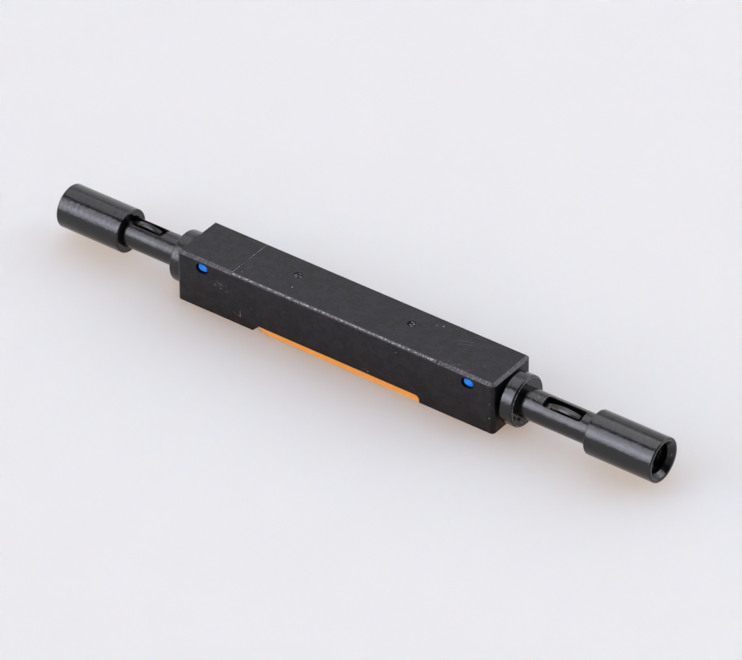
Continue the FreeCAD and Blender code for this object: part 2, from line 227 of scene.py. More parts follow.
class EffectLibrary:
    """Builds each shared shader node group once and places it in materials.

    Scales count patterns per millimetre, stretches are millimetres, and shares and edges are
    parts of a pattern's full range.
    """

    FINE_GRAIN: float = 2.7
    FINE_GRAIN_SHARE: float = 0.5
    SMALLEST_SPECK: float = 0.45
    SPECK_CORE: float = 0.6
    SPECK_RAGGED: float = 0.09
    SPECK_RAGGED_SCALE: float = 11.0
    HAIRLINE_STRETCH: tuple[float, float, float] = (9.0, 0.28, 0.28)
    HAIRLINE_EDGE: Span = (0.004, 0.016)
    HAIRLINE_PATCH_SCALE: float = 0.55
    HAIRLINE_PATCH_EDGE: float = 0.04
    SMUDGE_ROUGHNESS: float = 0.6
    SMUDGE_EDGE: Span = (0.36, 0.66)
    STREAK_STRETCH: tuple[float, float, float] = (6.0, 0.1, 0.1)
    STREAK_PATCH_SCALE: float = 0.8
    STREAK_PATCH_EDGE: Span = (0.35, 0.65)
    LEAST_STREAK: float = 0.35

    def __init__(self) -> None:
        """Build all groups."""
        self.groups = {
            Effect.GRAIN: self.build_grain(),
            Effect.SPECKS: self.build_specks(),
            Effect.SCRATCHES: self.build_scratches(),
            Effect.SMUDGES: self.build_smudges(),
            Effect.STREAKS: self.build_streaks(),
        }

    @staticmethod
    def start(effect: Effect, inputs: Sequence[str],
              output: str) -> tuple[Graph, bpy.types.Node, bpy.types.Node]:
        """Make an empty group with a Vector input, number inputs and one number output.

        Args:
            effect: The effect that names the group.
            inputs: The names of its number inputs.
            output: The name of its output.

        Returns:
            The group's graph, its input node and its output node.
        """
        tree = bpy.data.node_groups.new(effect.value, "ShaderNodeTree")
        tree.interface.new_socket("Vector", in_out="INPUT", socket_type="NodeSocketVector")
        for name in inputs:
            tree.interface.new_socket(name, in_out="INPUT", socket_type="NodeSocketFloat")
        tree.interface.new_socket(output, in_out="OUTPUT", socket_type="NodeSocketFloat")
        graph = Graph(tree)
        return graph, graph.add("NodeGroupInput", {}), graph.add("NodeGroupOutput", {})

    def build_grain(self) -> bpy.types.NodeTree:
        """Build the fine grain of a mould surface: two scales of noise, the finer one weaker.

        Returns:
            The node group.
        """
        graph, given, result = self.start(Effect.GRAIN, ["Scale"], "Height")
        vector, scale = given.outputs["Vector"], given.outputs["Scale"]
        coarse = graph.noise(vector, scale, detail=1.0)
        fine = graph.noise(vector, graph.math("MULTIPLY", scale, self.FINE_GRAIN), detail=1.0)
        graph.feed(result.inputs[0], graph.gain(coarse, fine, self.FINE_GRAIN_SHARE))
        return graph.tree

    def build_specks(self) -> bpy.types.NodeTree:
        """Build scattered specks: a share of random cell points, each a ragged spot of some size.

        Returns:
            The node group.
        """
        graph, given, result = self.start(Effect.SPECKS, ["Cells", "Radius", "Share"], "Mask")
        vector = given.outputs["Vector"]
        cells = graph.add("ShaderNodeTexVoronoi",
                          {"Vector": vector, "Scale": given.outputs["Cells"]})
        draw = graph.add("ShaderNodeSeparateColor", {0: cells.outputs["Color"]}).outputs
        chosen = graph.math("LESS_THAN", draw[0], given.outputs["Share"])
        size = graph.math("MULTIPLY", given.outputs["Radius"],
                          graph.ramp(draw[1], 0.0, 1.0, self.SMALLEST_SPECK, 1.0))
        uneven = graph.noise(vector, self.SPECK_RAGGED_SCALE, detail=1.0)
        ragged = graph.gain(cells.outputs["Distance"], uneven, self.SPECK_RAGGED)
        core = graph.math("MULTIPLY", size, self.SPECK_CORE)
        spot = graph.ramp(graph.math("SUBTRACT", ragged, self.SPECK_RAGGED / 2),
                          core, size, 1.0, 0.0)
        graph.feed(result.inputs[0], graph.product(spot, chosen))
        return graph.tree

    def build_scratches(self) -> bpy.types.NodeTree:
        """Build hairlines: thin level lines of a long-drawn noise, broken up by a broad noise.

        Returns:
            The node group.
        """
        graph, given, result = self.start(Effect.SCRATCHES, ["Turn", "Share"], "Mask")
        vector, share = given.outputs["Vector"], given.outputs["Share"]
        turn = graph.add("ShaderNodeCombineXYZ", {2: given.outputs["Turn"]}).outputs[0]
        drawn = graph.stretch(vector, self.HAIRLINE_STRETCH, turn)
        line = graph.level_line(graph.noise(drawn, 1.0, detail=0.0), self.HAIRLINE_EDGE)
        patch = graph.noise(vector, self.HAIRLINE_PATCH_SCALE, detail=1.0)
        broken = graph.ramp(patch, graph.math("SUBTRACT", 1.0, share),
                            graph.math("SUBTRACT", 1.0 + self.HAIRLINE_PATCH_EDGE, share))
        graph.feed(result.inputs[0], graph.product(line, broken))
        return graph.tree

    def build_smudges(self) -> bpy.types.NodeTree:
        """Build soft patches of handling: a broad rough noise, stepped softly from 0 to 1.

        Returns:
            The node group.
        """
        graph, given, result = self.start(Effect.SMUDGES, ["Scale"], "Amount")
        broad = graph.noise(given.outputs["Vector"], given.outputs["Scale"], detail=3.0,
                            roughness=self.SMUDGE_ROUGHNESS)
        graph.feed(result.inputs[0], graph.ramp(broad, *self.SMUDGE_EDGE))
        return graph.tree

    def build_streaks(self) -> bpy.types.NodeTree:
        """Build streaks along X: a long-drawn noise, faded in and out by a broad noise.

        Returns:
            The node group.
        """
        graph, given, result = self.start(Effect.STREAKS, ["Scale"], "Amount")
        vector = given.outputs["Vector"]
        streak = graph.noise(graph.stretch(vector, self.STREAK_STRETCH), given.outputs["Scale"])
        patch = graph.ramp(graph.noise(vector, self.STREAK_PATCH_SCALE), *self.STREAK_PATCH_EDGE,
                           self.LEAST_STREAK, 1.0)
        graph.feed(result.inputs[0], graph.product(streak, patch))
        return graph.tree

    def place(self, graph: Graph, effect: Effect, vector: Value, **inputs: Value) -> Socket:
        """Place an effect in a material.

        Args:
            graph: The material's graph.
            effect: The effect that is placed.
            vector: The coordinates that it reads, in millimetres.
            **inputs: Its number inputs by name.

        Returns:
            The effect's output.
        """
        node = graph.add("ShaderNodeGroup", {}, node_tree=self.groups[effect])
        for key, value in {"Vector": vector, **inputs}.items():
            graph.feed(node.inputs[key], value)
        return node.outputs[0]


@dataclass(frozen=True)
class HousingSizes:
    """The sizes of the CAD housing that its finish, its marks and the tail ends need."""

    half_length: float = 12.625
    half_width: float = 2.0
    top: float = 3.86
    middle_half: float = 8.2
    long_chamfer: float = 0.1


@dataclass(frozen=True)
class MouldedFinish:
    """Moulded plastic with grain, mottling, waves, streaks, smudges, hairlines and dust.

    Scales count patterns per millimetre, depths are millimetres, and heights are in grain depths.
    A roughness of a pattern is what the pattern adds to the finish's own, or its share of that.
    """

    name: str
    colour: Colour
    tint: Colour
    roughness: float
    roughness_spread: float
    ior: float
    grain_scale: float
    grain_depth: float
    mottle_scale: float = 2.2
    wave_depth: float = 0.0
    streak: float = 0.0
    dust_share: float = 0.012
    scratch_share: float = 0.32
    scratch_turn: float = 0.4
    dust_colour: Colour = (0.42, 0.42, 0.41)
    # The mark colour paints scratches and wear, and on the housing edge bands and gates painted
    # highlight and glints too.
    mark_colour: Colour = (0.09, 0.09, 0.092)
    grain_edge: Span = (0.5, 1.0)
    mottle_share: float = 0.5
    smudge_scale: float = 0.5
    streak_scale: float = 1.0
    dust_cells: float = 2.2
    dust_radius: float = 0.12
    dust_height: float = 1.5
    dust_roughness: float = 0.4
    scratch_height: float = -0.8
    grain_roughness: float = 0.5
    streak_roughness: float = 0.2
    mottle_roughness: float = 0.06

    def extra_marks(self, graph: Graph, vector: Socket) -> Union[Socket, None]:
        """Return where the finish takes its mark colour, or None where it has no such places."""
        return None

    def material(self, effects: EffectLibrary) -> Material:
        """Build the material.

        Args:
            effects: The shared node groups.

        Returns:
            A material whose colour, roughness and normal change over the surface.
        """
        material, graph, shader = start_material(self.name)
        vector = graph.millimetres()
        grain = effects.place(graph, Effect.GRAIN, vector, Scale=self.grain_scale)
        mottle = effects.place(graph, Effect.SMUDGES, vector, Scale=self.mottle_scale)
        smudge = effects.place(graph, Effect.SMUDGES, vector, Scale=self.smudge_scale)
        streak = effects.place(graph, Effect.STREAKS, vector, Scale=self.streak_scale)
        dust = effects.place(graph, Effect.SPECKS, vector, Cells=self.dust_cells,
                             Radius=self.dust_radius, Share=self.dust_share)
        scratch = effects.place(graph, Effect.SCRATCHES, vector, Turn=self.scratch_turn,
                                Share=self.scratch_share)

        shade = graph.ramp(grain, *self.grain_edge, 0.0, 1.0 - self.mottle_share)
        shade = graph.gain(shade, mottle, self.mottle_share)
        colour = graph.blend(shade, self.colour, self.tint)
        # Marks are scratches plus each finish's extra marks: wear and scrapes, partly painted
        # highlight and glints.
        extra_marks = self.extra_marks(graph, vector)
        marked = scratch if extra_marks is None else graph.highest(scratch, extra_marks)
        colour = graph.blend(marked, colour, self.mark_colour)
        graph.feed(shader.inputs["Base Color"], graph.blend(dust, colour, self.dust_colour))

        uneven = graph.gain(self.roughness, smudge, self.roughness_spread)
        uneven = graph.gain(uneven, grain, self.roughness_spread * self.grain_roughness)
        uneven = graph.gain(uneven, streak, self.streak * self.streak_roughness)
        uneven = graph.gain(uneven, mottle, self.streak * self.mottle_roughness)
        uneven = graph.gain(uneven, dust, self.dust_roughness)
        graph.feed(shader.inputs["Roughness"], uneven)
        shader.inputs["IOR"].default_value = self.ior

        height = graph.gain(grain, dust, self.dust_height)
        height = graph.gain(height, scratch, self.scratch_height)
        height = graph.gain(height, streak, self.streak)
        height = graph.gain(height, mottle, self.wave_depth / self.grain_depth)
        bump = graph.add("ShaderNodeBump", {"Strength": 1.0, "Distance": self.grain_depth * MM,
                                            "Height": height})
        graph.feed(shader.inputs["Normal"], bump.outputs[0])
        return material


@dataclass(frozen=True)
class FleckedFinish(MouldedFinish):
    """Plastic that is torn pale or pale from rubbing, with paler flecks; on the gates the flecks
    are painted glints.
    """

    fleck_scale: float = 8.0
    fleck_edge: Span = (0.45, 0.62)

    def extra_marks(self, graph: Graph, vector: Socket) -> Socket:
        """Return the flecks, the high places of a fine noise; on the gates they are painted glints.
        """
        return graph.ramp(graph.noise(vector, self.fleck_scale), *self.fleck_edge)


@dataclass(frozen=True)
class HousingFinish(MouldedFinish):
    """Satin black plastic with pale edge bands, partly wear and partly painted highlight, and two
    scraped places.
    """

    sizes: HousingSizes = HousingSizes()
    # Pale edge bands: partly wear, partly painted highlight on the lit chamfers.
    long_band: float = 0.16
    end_band: float = 0.21
    band_depth: float = 0.2
    band_soft: float = 0.02
    band_speckle_scale: float = 7.5
    band_speckle_edge: Span = (0.4, 0.68)
    least_band: float = 0.25
    band_strength: float = 0.5
    # Painted shade: the bands fade at the front right corner.
    corner_shade_reach: float = 0.34
    corner_shade: float = 0.45
    scrapes: tuple[tuple[float, float, float], ...] = ((9.6, -1.6, 3.86), (-9.2, -2.0, 2.4))
    scrape_length: float = 1.0
    scrape_reach: float = 0.42
    scrape_fade: Span = (0.6, 1.1)
    scrape_stretch: tuple[float, float, float] = (1.4, 0.12, 0.12)
    scrape_turn: float = 0.2
    scrape_edge: Span = (0.008, 0.03)
    scrape_strength: float = 0.55
    dash_scale: float = 2.6
    dash_edge: Span = (0.44, 0.54)

    def extra_marks(self, graph: Graph, vector: Socket) -> Socket:
        """Return the pale edge bands, partly wear and partly painted highlight, and the scrapes.

        Args:
            graph: The material's graph.
            vector: Coordinates in millimetres.

        Returns:
            The mask of all marks.
        """
        return graph.highest(self.edge_bands(graph, vector), self.scraped(graph, vector))

    def edge_bands(self, graph: Graph, vector: Socket) -> Socket:
        """Return the pale edge bands, partly wear and partly painted highlight on the lit chamfers.

        The bands are products of steps in X, Y and Z, wider at the two ends than in the middle,
        broken up by noise and faint at the front right corner, where the fade paints shade.

        Args:
            graph: The material's graph.
            vector: Coordinates in millimetres.

        Returns:
            The mask of the bands.
        """
        x, y, z = graph.axes(vector)
        length = graph.math("ABSOLUTE", x)
        middle = graph.math("LESS_THAN", length, self.sizes.middle_half)
        width = graph.ramp(middle, 0.0, 1.0, self.end_band, self.long_band)
        forward = graph.math("MULTIPLY", y, -1.0)
        front = self.near(graph, forward, self.sizes.half_width, width)
        end = self.near(graph, length, self.sizes.half_length, self.end_band)
        upper = self.near(graph, z, self.sizes.top, self.band_depth)
        speckle = graph.ramp(graph.noise(vector, self.band_speckle_scale), *self.band_speckle_edge,
                             self.least_band, 1.0)
        # Painted shade: the fade at the front right corner darkens that corner.
        corner_x, corner_y = (
            graph.ramp(value, face - self.corner_shade_reach, face - self.end_band)
            for value, face in ((x, self.sizes.half_length), (forward, self.sizes.half_width)))
        corner_shade_mask = graph.product(corner_x, corner_y, self.corner_shade)
        strength = graph.math("SUBTRACT", self.band_strength, corner_shade_mask)
        return graph.product(graph.highest(front, end), upper, speckle, strength)

    def scraped(self, graph: Graph, vector: Socket) -> Socket:
        """Return the scrapes.

        A scrape is a set of thin level lines of a long-drawn noise, broken into dashes and faded
        out away from its middle, least along X.

        Args:
            graph: The material's graph.
            vector: Coordinates in millimetres.

        Returns:
            The mask of the scrapes.
        """
        drawn = graph.stretch(vector, self.scrape_stretch, (0.0, 0.0, self.scrape_turn))
        lines = graph.level_line(graph.noise(drawn, 1.0, detail=1.0), self.scrape_edge)
        dashes = graph.ramp(graph.noise(vector, self.dash_scale, detail=1.0), *self.dash_edge)
        squash = (self.scrape_length, self.scrape_reach, self.scrape_reach)
        shifted = [graph.stretch(vector, squash, place=place) for place in self.scrapes]
        reach = [graph.add("ShaderNodeVectorMath", {0: offset}, operation="LENGTH")
                 .outputs["Value"] for offset in shifted]
        patches = [graph.ramp(distance, *self.scrape_fade, 1.0, 0.0) for distance in reach]
        return graph.product(graph.highest(*patches), lines, dashes, self.scrape_strength)

    def near(self, graph: Graph, value: Value, face: float, reach: Value) -> Socket:
        """Return 1 where a value is less than the reach short of a face, with a soft step."""
        inside = graph.math("ADD", graph.math("SUBTRACT", value, face), reach)
        return graph.ramp(inside, -self.band_soft, self.band_soft)


@dataclass(frozen=True)
class SpringFinish:
    """Rolled stainless strip with fine lines along its length."""

    name: str = "spring_steel"
    colour: Colour = (0.58, 0.57, 0.55)
    tint: Colour = (0.46, 0.45, 0.44)
    roughness: float = 0.26
    smudge_scale: float = 0.8
    rolled_stretch: tuple[float, float, float] = (3.0, 0.05, 0.05)
    rolled_roughness: float = 0.2
    rolled_depth: float = 0.002

    def material(self, effects: EffectLibrary) -> Material:
        """Build the material.

        Args:
            effects: The shared node groups.

        Returns:
            A metal whose colour, roughness and normal follow the rolling lines.
        """
        material, graph, shader = start_material(self.name)
        vector = graph.millimetres()
        rolled = graph.noise(graph.stretch(vector, self.rolled_stretch), 1.0)
        smudge = effects.place(graph, Effect.SMUDGES, vector, Scale=self.smudge_scale)
        graph.feed(shader.inputs["Base Color"], graph.blend(smudge, self.colour, self.tint))
        shader.inputs["Metallic"].default_value = 1.0
        graph.feed(shader.inputs["Roughness"],
                   graph.gain(self.roughness, rolled, self.rolled_roughness))
        bump = graph.add("ShaderNodeBump", {"Strength": 1.0, "Distance": self.rolled_depth * MM,
                                            "Height": rolled})
        graph.feed(shader.inputs["Normal"], bump.outputs[0])
        return material


@dataclass(frozen=True)
class FloorFinish:
    """Pale opal acrylic, lit faintly from below, in which red light spreads furthest."""

    name: str = "pale_acrylic"
    colour: Colour = (0.613, 0.656, 0.702)
    tint: Colour = (0.609, 0.652, 0.698)
    tone_scale: float = 0.12
    # The glow is painted light: the floor's own faint warm emission, which lifts and warms its
    # shadows.
    glow: Colour = (0.095, 0.07, 0.035)
    scatter: Colour = (1.0, 0.62, 0.42)
    scatter_length: float = 23.0
    roughness: float = 0.7
    gloss: float = 0.1

    def material(self, effects: EffectLibrary) -> Material:
        """Build the material.

        Args:
            effects: The shared node groups.

        Returns:
            A matte material with a faint change of tone.
        """
        material, graph, shader = start_material(self.name)
        tone = effects.place(graph, Effect.SMUDGES, graph.millimetres(), Scale=self.tone_scale)
        graph.feed(shader.inputs["Base Color"], graph.blend(tone, self.colour, self.tint))
        shader.subsurface_method = "BURLEY"
        for name, value in (("Emission Color", self.glow), ("Emission Strength", 1.0),
                            ("Subsurface Weight", 1.0), ("Subsurface Radius", self.scatter),
                            ("Subsurface Scale", self.scatter_length * MM),
                            ("Roughness", self.roughness), ("Specular IOR Level", self.gloss)):
            graph.feed(shader.inputs[name], value)
        return material


@dataclass(frozen=True)
class Finishes:
    """The finishes of all pieces."""

    # The housing's mark colour paints scrapes, edge wear and painted highlight on the lit chamfers.
    housing: HousingFinish = HousingFinish(
        "satin_black_housing", colour=(0.0006, 0.0004, 0.0012), tint=(0.0142, 0.0132, 0.0185),
        roughness=0.28, roughness_spread=0.06, ior=1.36, grain_scale=7.0, grain_depth=0.003,
        mottle_scale=1.7, wave_depth=0.004, dust_share=0.11, mark_colour=(0.2, 0.195, 0.205))
    # Pale torn plastic for the flash, the joint line and the collar flakes; on the collar rim ridge
    # it paints a highlight line.
    torn: FleckedFinish = FleckedFinish(
        "torn_edge_plastic", colour=(0.062, 0.063, 0.072), tint=(0.12, 0.122, 0.138),
        roughness=0.34, roughness_spread=0.1, ior=1.45, grain_scale=9.0, grain_depth=0.006,
        mark_colour=(0.36, 0.362, 0.4), fleck_scale=7.0, fleck_edge=(0.48, 0.6))
    # The gate's pale flecks are painted glints, where torn facets would catch the light.
    gate: FleckedFinish = FleckedFinish(
        "torn_gate_plastic", colour=(0.001, 0.001, 0.0011), tint=(0.005, 0.0048, 0.0052),
        roughness=0.45, roughness_spread=0.1, ior=1.2, grain_scale=9.0, grain_depth=0.006,
        mark_colour=(0.24, 0.235, 0.25), fleck_scale=9.0, fleck_edge=(0.53, 0.58))
    tail: MouldedFinish = MouldedFinish(
        "gloss_black_tail", colour=(0.0030, 0.0029, 0.0033), tint=(0.008, 0.0076, 0.0086),
        roughness=0.11, roughness_spread=0.05, ior=1.5, grain_scale=9.0, grain_depth=0.0018,
        mottle_scale=4.2, wave_depth=0.004, streak=0.4, scratch_turn=1.45)
    sleeve: MouldedFinish = MouldedFinish(
        "gloss_black_sleeve", colour=(0.0030, 0.0029, 0.0033), tint=(0.008, 0.0076, 0.0086),
        roughness=0.05, roughness_spread=0.04, ior=1.5, grain_scale=8.0, grain_depth=0.0018,
        mottle_scale=4.2, wave_depth=0.0042, streak=0.5, scratch_turn=1.5)
    core: MouldedFinish = MouldedFinish(
        "gloss_blue_core", colour=(0.004, 0.22, 0.88), tint=(0.008, 0.28, 0.95),
        roughness=0.26, roughness_spread=0.08, ior=1.3, grain_scale=6.0, grain_depth=0.003,
        mark_colour=(0.05, 0.35, 0.9))
    bar: MouldedFinish = MouldedFinish(
        "gloss_orange_bar", colour=(0.88, 0.338, 0.054), tint=(0.9, 0.4, 0.078),
        roughness=0.3, roughness_spread=0.1, ior=1.5, grain_scale=4.0, grain_depth=0.004,
        mark_colour=(0.92, 0.55, 0.25))
    spring: SpringFinish = SpringFinish()
    floor: FloorFinish = FloorFinish()


def grid_faces(rows: int, columns: int, close_rows: bool) -> np.ndarray:
    """Number the quads of a grid whose columns go round.

    Quad (i, j) joins (i, j), (i, j + 1), (i + 1, j + 1) and (i + 1, j), with j taken round the
    columns, and i taken round the rows where they close.

    Args:
        rows: The number of rows.
        columns: The number of columns.
        close_rows: Whether the last row joins the first.

    Returns:
        An array of four vertex numbers for each quad.
    """
    row = np.arange(rows if close_rows else rows - 1)[:, None] * columns
    column = np.arange(columns)[None, :]
    after = (row + columns) % (rows * columns)
    beside = (column + 1) % columns
    corners = [row + column, row + beside, after + beside, after + column]
    return np.stack(corners, axis=-1).reshape(-1, 4)


def ring_mesh(name: str, points: np.ndarray, close_rows: bool,
              normals: Union[np.ndarray, None] = None) -> Piece:
    """Make an object from rings of points in metres, with flat caps if the rings stay open.

    The faces are turned round where the volume inside them, the sum of each quad's corner times
    its area vector, comes out negative.

    Args:
        name: The piece's name.
        points: An array of rings by points by XYZ.
        close_rows: Whether the last ring joins the first.
        normals: The outward normal of each point, or None to let the faces give them.

    Returns:
        The linked object.
    """
    rows, columns = points.shape[:2]
    quads = grid_faces(rows, columns, close_rows)
    flat = points.reshape(-1, 3)
    first, second, third, fourth = np.moveaxis(flat[quads], 1, 0)
    area = np.cross(second - first, third - first) + np.cross(third - first, fourth - first)
    faces = quads.tolist()
    if not close_rows:
        cap = np.arange(columns)
        faces += [cap[::-1].tolist(), (cap + (rows - 1) * columns).tolist()]
    if (first * area).sum() < 0:
        faces = [face[::-1] for face in faces]
    mesh = bpy.data.meshes.new(name)
    mesh.from_pydata(flat.tolist(), [], faces)
    mesh.polygons.foreach_set("use_smooth", np.ones(len(faces), dtype=bool))
    if normals is not None:
        mesh.normals_split_custom_set_from_vertices(normals.reshape(-1, 3).tolist())
    mesh.update()
    piece = bpy.data.objects.new(name, mesh)
    bpy.context.scene.collection.objects.link(piece)
    return piece


def ridge_mesh(name: str, path: np.ndarray, side: np.ndarray, out: np.ndarray,
               half_width: float, height: np.ndarray, closed: bool = False) -> Piece:
    """Make a low ridge along a path in millimetres, with its foot just under the surface.

    Each ring has five points over the ridge and one under it; a point lies on the path plus its
    share of the half width along the side direction and its share of the height along the
    outward direction.

    Args:
        name: The piece's name.
        path: The points of the path on the surface.
        side: The unit direction across the ridge, one for all points or one for each.
        out: The unit direction out of the surface.
        half_width: Half the ridge's width.
        height: The ridge's height at each point.
        closed: Whether the path goes round.

    Returns:
        The linked object.
    """
    foot = -0.012
    across = np.array([-1.0, -0.45, 0.0, 0.45, 1.0, 0.0]) * half_width
    share = np.array([0.0, 0.75, 1.0, 0.75, 0.0, 0.0])
    base = np.array([1.0, 0.0, 0.0, 0.0, 1.0, 1.6]) * foot
    rise = base[None, :] + share[None, :] * height[:, None]
    sideways = np.broadcast_to(side, path.shape)[:, None, :]
    points = path[:, None, :] + across[None, :, None] * sideways + rise[:, :, None] * out
    return ring_mesh(name, points * MM, closed)


def rounded_profile(corners: np.ndarray, steps: int) -> tuple[np.ndarray, np.ndarray]:
    """Round each corner of a closed outline with an arc.

    The arc of radius f at a corner of half angle h has its centre on the corner's bisector,
    f / sin h away, and its points turn evenly from one tangent point to the other. The normal of
    a point lies along the arc's radius.

    Args:
        corners: An array of (along, radius, rounding), in order round the outline.
        steps: The number of points on each arc.

    Returns:
        The outline's points and their outward normals, each an array of (along, radius).
    """
    here = corners[:, :2]
    rounding = corners[:, 2]
    before = np.roll(here, 1, axis=0) - here
    after = np.roll(here, -1, axis=0) - here
    before = before / np.linalg.norm(before, axis=1, keepdims=True)
    after = after / np.linalg.norm(after, axis=1, keepdims=True)
    half = np.arccos(np.clip((before * after).sum(axis=1), -1, 1)) / 2
    bisector = before + after
    bisector = bisector / np.linalg.norm(bisector, axis=1, keepdims=True)
    centre = here + bisector * (rounding / np.sin(half))[:, None]
    start = here + before * (rounding / np.tan(half))[:, None] - centre
    end = here + after * (rounding / np.tan(half))[:, None] - centre
    first = np.arctan2(start[:, 1], start[:, 0])
    sweep = np.arctan2(end[:, 1], end[:, 0]) - first
    sweep = (sweep + np.pi) % (2 * np.pi) - np.pi
    angle = first[:, None] + sweep[:, None] * np.linspace(0, 1, steps)[None, :]
    spoke = np.stack([np.cos(angle), np.sin(angle)], axis=-1)
    points = centre[:, None, :] + spoke * rounding[:, None, None]
    following = np.roll(here, -1, axis=0)
    area = (here[:, 0] * following[:, 1] - following[:, 0] * here[:, 1]).sum()
    normals = spoke * (np.sign(sweep) * np.sign(area))[:, None, None]
    return points.reshape(-1, 2), normals.reshape(-1, 2)


def smooth_random(count: int, width: int, seed: int) -> np.ndarray:
    """Return a smooth random row from 0 to 1: seeded numbers under a moving bell-shaped average.

    Args:
        count: The number of values.
        width: The width of the average, in values.
        seed: The seed of the random numbers.

    Returns:
        The row of values.
    """
    raw = np.random.default_rng(seed).random(count + 4 * width)
    bell = np.exp(-0.5 * (np.arange(-2 * width, 2 * width + 1) / width) ** 2)
    row = np.convolve(raw, bell / bell.sum(), mode="same")[2 * width:2 * width + count]
    return (row - row.min()) / (row.max() - row.min())


@dataclass(frozen=True)
class RaggedRow:
    """The ragged height along a torn edge, as shares of its full height."""

    fine_width: int
    broad_width: int
    fine_share: float
    gain: float
    drop: float
    least: float
    seed: int

    def heights(self, count: int) -> np.ndarray:
        """Mix a fine and a broad random row, stretch and lower the mix, and clip it.

        Args:
            count: The number of values.

        Returns:
            The row of heights, from the least one to 1.
        """
        fine = smooth_random(count, self.fine_width, self.seed)
        broad = smooth_random(count, self.broad_width, self.seed + 1)
        mixed = self.fine_share * fine + (1 - self.fine_share) * broad
        return np.clip(self.gain * mixed - self.drop, self.least, 1)


def dress(node: Piece, material: Material) -> None:
    """Give a piece its material in its first slot.

    Args:
        node: The piece.
        material: Its material.
    """
    if not node.material_slots:
        node.data.materials.append(material)
    node.material_slots[0].material = material
    LOG.info("dressed %s with %s", node.name, material.name)


